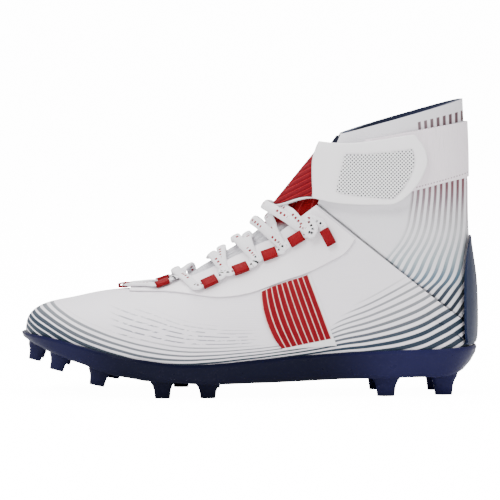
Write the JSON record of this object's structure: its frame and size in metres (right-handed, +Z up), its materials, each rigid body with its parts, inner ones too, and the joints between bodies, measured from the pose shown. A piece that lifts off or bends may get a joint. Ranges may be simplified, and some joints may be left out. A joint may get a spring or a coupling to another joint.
{
  "type": "american football cleat",
  "caption": "High-top american football cleat for the left foot: moulded studded sole, hollow upper, knitted ankle shaft, laced throat and strapped ankle.",
  "frame": {"origin": "middle of the shoe's box on the ground, under the studs' flat tips", "axes": "+X from the toe to the heel, +Y from the outer side of the foot to the inner side, +Z up"},
  "size_m": [0.3022, 0.0994, 0.194],
  "materials": {
    "navy_plate": "glossy moulded plastic, dark navy",
    "insole_fabric": "thin grey fabric over foam",
    "white_synthetic": "coated synthetic textile, white with navy and teal lines printed on",
    "white_knit": "engineered knit, white with dark lines",
    "grey_mesh": "padded mesh, grey and red",
    "red_rib": "ribbed stretch textile, deep red",
    "navy_rubber": "moulded rubber, navy, semi gloss",
    "white_elastic": "woven elastic, white",
    "white_moulded": "soft moulded plastic, satin white",
    "silver_mesh": "fine mesh with a light sheen, silver grey",
    "red_webbing": "woven webbing, red",
    "white_lace": "flat woven lace, white"
  },
  "bodies": {
    "root": {"outsole": "navy_plate", "insole": "insole_fabric", "upper": "white_synthetic", "shaft": "white_knit", "tongue": "grey_mesh", "eyestay_lateral": "white_synthetic", "eyestay_medial": "white_synthetic", "stretch_panel_lateral": "red_rib", "stretch_panel_medial": "red_rib", "heel_counter": "navy_rubber", "strap_band": "white_elastic", "strap_front": "red_rib", "strap_edge_binding": "white_elastic", "strap_tab": "white_moulded", "strap_tab_inlay": "silver_mesh", "lace_loop_toe": "red_webbing", "lace_loop_lateral_1": "red_webbing", "lace_loop_lateral_2": "red_webbing", "lace_loop_lateral_3": "red_webbing", "lace_loop_lateral_4": "red_webbing", "lace_loop_lateral_5": "red_webbing", "lace_loop_lateral_6": "red_webbing", "lace_loop_medial_1": "red_webbing", "lace_loop_medial_2": "red_webbing", "lace_loop_medial_3": "red_webbing", "lace_loop_medial_4": "red_webbing", "lace_loop_medial_5": "red_webbing", "lace_loop_medial_6": "red_webbing", "lace_toe": "white_lace", "lace_cross_1": "white_lace", "lace_cross_2": "white_lace", "lace_cross_3": "white_lace", "lace_cross_4": "white_lace", "lace_cross_5": "white_lace"}
  },
  "joints": []
}
